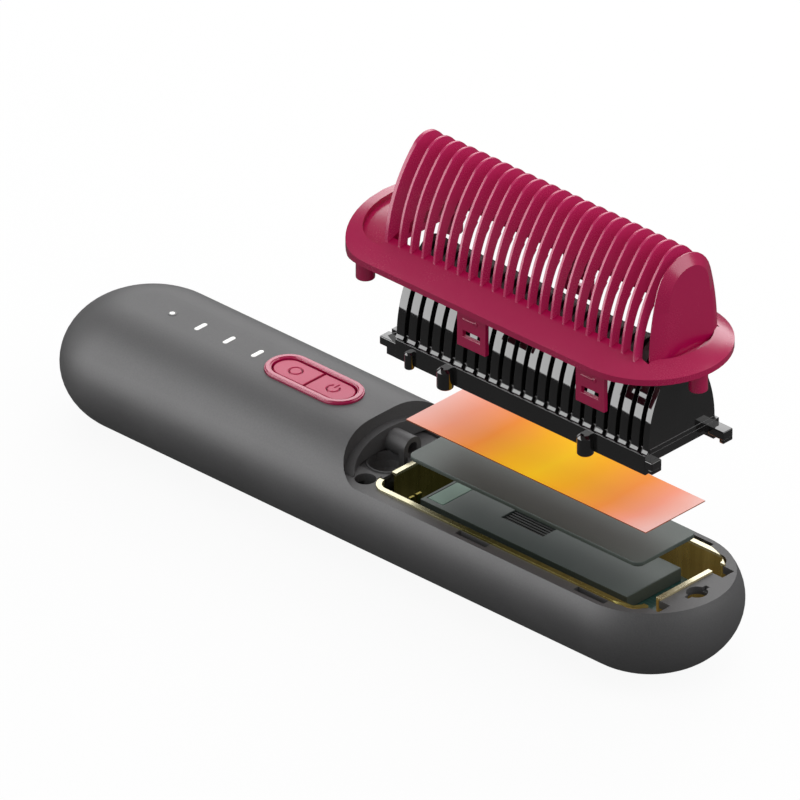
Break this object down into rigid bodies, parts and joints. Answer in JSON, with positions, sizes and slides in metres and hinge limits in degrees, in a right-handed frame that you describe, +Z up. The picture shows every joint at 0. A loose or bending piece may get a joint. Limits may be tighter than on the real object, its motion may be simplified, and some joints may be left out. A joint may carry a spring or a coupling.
{
  "type": "hair straightening brush",
  "caption": "Cordless hair straightening brush drawn apart: pill body, open head with heater layers, black heated comb and rose arched comb cover.",
  "frame": {"origin": "centre of the body's underside, on the surface that it lies on", "axes": "+X along the body towards the brush head, +Y across it, +Z up through the keys and the comb"},
  "size_m": [0.222, 0.048, 0.1212],
  "materials": {
    "housing": "fine satin moulded",
    "rose_shell": "satin moulded",
    "rose_key": "soft satin",
    "black_comb": "glossy",
    "film": "smooth film",
    "spreader": "fine grain",
    "block": "fine grain",
    "grille": "satin",
    "pad": "matte",
    "tray": "polished",
    "contact": "satin",
    "board": "solder mask",
    "base": "satin",
    "steel": "plated",
    "nickel": "rolled strip",
    "cell": "shrink sleeve",
    "dark_plastic": "moulded",
    "lens": "clear to milky",
    "chip": "satin",
    "red_wire": "insulation",
    "black_wire": "insulation",
    "ribbon": "flat cable",
    "copper": "enamelled winding",
    "can": "sleeved can",
    "spacer": "moulded"
  },
  "bodies": {
    "brush_body": {"main_housing": "housing", "bottom_cover": "housing", "button_bezel": "rose_shell", "heater_block": "block", "window_grille": "grille", "thermal_pad": "pad", "heat_tray": "tray", "contact_tabs": "contact", "control_board": "board", "charging_board": "board", "driver_board": "board", "base_board": "base", "cover_screws": "steel", "control_board_screws": "steel", "driver_board_screws": "steel", "tray_screws": "steel", "charging_socket": "steel", "cell_link_front": "nickel", "cell_link_rear": "nickel", "battery_cell_left": "cell", "battery_cell_right": "cell", "battery_cradle": "dark_plastic", "terminal_block": "dark_plastic", "power_switch": "dark_plastic", "mode_switch": "dark_plastic", "driver_transistors": "dark_plastic", "light_guide": "lens", "light_chips": "chip", "positive_lead": "red_wire", "negative_lead": "black_wire", "ribbon_cable": "ribbon", "power_inductor": "copper", "driver_capacitors": "can", "spacer_posts": "spacer"},
    "plate_layer": {"heat_plate": "spreader"},
    "film_layer": {"heating_film": "film"},
    "comb_layer": {"heated_comb": "black_comb"},
    "cover_layer": {"comb_cover": "rose_shell"},
    "power_key_body": {"power_key": "rose_key"},
    "mode_key_body": {"mode_key": "rose_key"}
  },
  "joints": [
    {"name": "plate_lift", "type": "slide", "parent": "brush_body", "child": "plate_layer", "axis": [0, 0, 1], "range_m": [-0.0105, 0]},
    {"name": "film_lift", "type": "slide", "parent": "plate_layer", "child": "film_layer", "axis": [0, 0, 1], "range_m": [-0.0099, 0]},
    {"name": "comb_lift", "type": "slide", "parent": "film_layer", "child": "comb_layer", "axis": [0, 0, 1], "range_m": [-0.0236, 0]},
    {"name": "cover_lift", "type": "slide", "parent": "comb_layer", "child": "cover_layer", "axis": [0, 0, 1], "range_m": [-0.0215, 0]},
    {"name": "power_key_press", "type": "slide", "parent": "brush_body", "child": "power_key_body", "axis": [0, 0, -1], "range_m": [0, 0.0007], "stiffness_N_per_m": 1500},
    {"name": "mode_key_press", "type": "slide", "parent": "brush_body", "child": "mode_key_body", "axis": [0, 0, -1], "range_m": [0, 0.0007], "stiffness_N_per_m": 1500}
  ]
}
